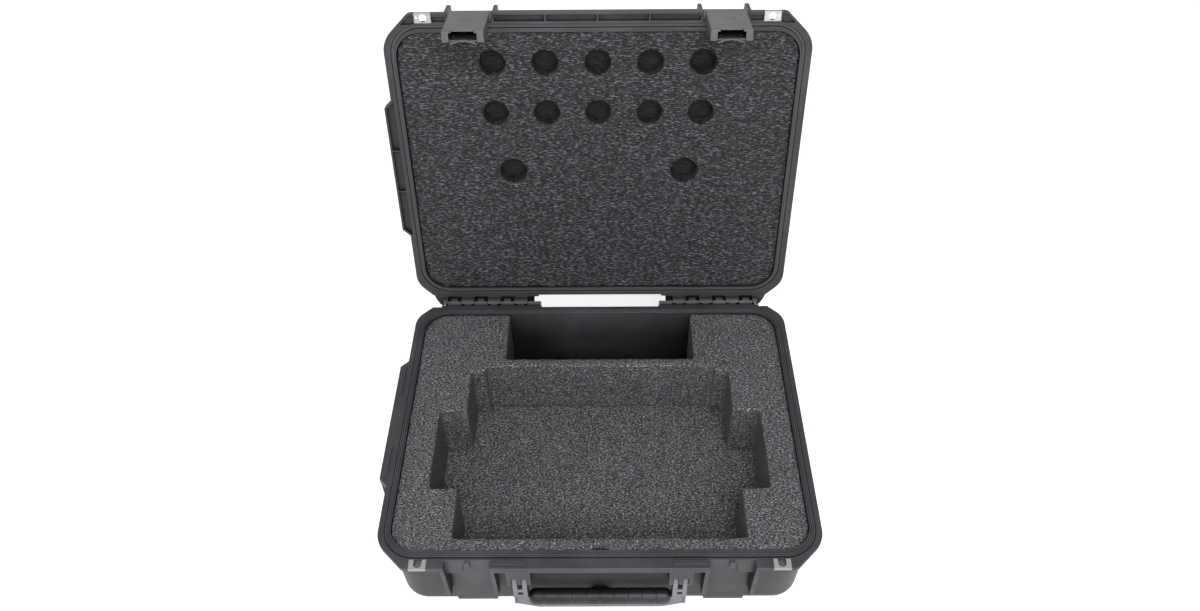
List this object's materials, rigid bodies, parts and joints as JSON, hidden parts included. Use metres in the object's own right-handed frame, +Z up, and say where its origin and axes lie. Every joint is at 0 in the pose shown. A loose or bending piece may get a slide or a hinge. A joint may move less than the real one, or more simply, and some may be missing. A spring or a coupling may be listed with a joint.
{
  "type": "hard case",
  "caption": "Moulded hard case with a hinged lid, trigger latches, folding carry handles, a sealed rim and cut foam lining for a flat unit and a pedal.",
  "frame": {"origin": "middle of the underside, on the ground below the middle of the rim", "axes": "+X to the right seen from the front, +Y to the hinge at the back, +Z up"},
  "size_m": [0.602, 0.6142, 0.6425],
  "materials": {
    "case_plastic": "satin",
    "latch_plastic": "satin",
    "grip_rubber": "matte",
    "seal_rubber": "matte",
    "foam": "matte",
    "stainless_steel": "satin",
    "steel": "satin"
  },
  "bodies": {
    "base": {"base_shell": "case_plastic", "base_foam_floor": "foam", "base_foam_top": "foam", "valve_body": "case_plastic", "valve_nut": "case_plastic", "front_handle_pin_left": "steel", "front_handle_pin_right": "steel", "side_handle_pin_front": "steel", "side_handle_pin_rear": "steel", "hinge_pin_left": "steel", "base_padlock_plate_left": "stainless_steel", "hinge_pin_right": "steel", "base_padlock_plate_right": "stainless_steel"},
    "lid": {"lid_shell": "case_plastic", "lid_gasket": "seal_rubber", "lid_foam_face": "foam", "lid_foam_backing": "foam", "lid_padlock_plate_left": "stainless_steel", "latch_pin_left": "steel", "lid_padlock_plate_right": "stainless_steel", "latch_pin_right": "steel"},
    "latch_left": {"latch_body_left": "latch_plastic", "trigger_pin_left": "steel", "trigger_spring_left": "steel"},
    "trigger_left": {"latch_trigger_left": "latch_plastic"},
    "latch_right": {"latch_body_right": "latch_plastic", "trigger_pin_right": "steel", "trigger_spring_right": "steel"},
    "trigger_right": {"latch_trigger_right": "latch_plastic"},
    "front_handle": {"front_handle_frame": "case_plastic", "front_handle_grip": "grip_rubber"},
    "side_handle": {"side_handle_frame": "case_plastic", "side_handle_grip": "grip_rubber"}
  },
  "joints": [
    {"name": "lid_hinge", "type": "hinge", "parent": "base", "child": "lid", "pos_m": [0, 0.246, 0.155], "axis": [1, 0, 0], "range_deg": [0, 100]},
    {"name": "latch_left_swing", "type": "hinge", "parent": "lid", "child": "latch_left", "pos_m": [-0.1725, 0.337, 0.61925], "axis": [-1, 0, 0], "range_deg": [0, 120]},
    {"name": "trigger_left_pull", "type": "hinge", "parent": "latch_left", "child": "trigger_left", "pos_m": [-0.1725, 0.32231, 0.62235], "axis": [-1, 0, 0], "range_deg": [0, 5.5], "stiffness_Nm_per_rad": 0.3, "springref_deg": -17.19, "deforming": ["trigger_spring_left"]},
    {"name": "latch_right_swing", "type": "hinge", "parent": "lid", "child": "latch_right", "pos_m": [0.1725, 0.337, 0.61925], "axis": [-1, 0, 0], "range_deg": [0, 120]},
    {"name": "trigger_right_pull", "type": "hinge", "parent": "latch_right", "child": "trigger_right", "pos_m": [0.1725, 0.32231, 0.62235], "axis": [-1, 0, 0], "range_deg": [0, 5.5], "stiffness_Nm_per_rad": 0.3, "springref_deg": -17.19, "deforming": ["trigger_spring_right"]},
    {"name": "front_handle_swing", "type": "hinge", "parent": "base", "child": "front_handle", "pos_m": [0, -0.224, 0.118], "axis": [-1, 0, 0], "range_deg": [0, 95]},
    {"name": "side_handle_swing", "type": "hinge", "parent": "base", "child": "side_handle", "pos_m": [-0.297, 0.006, 0.118], "axis": [0, 1, 0], "range_deg": [0, 95]}
  ]
}
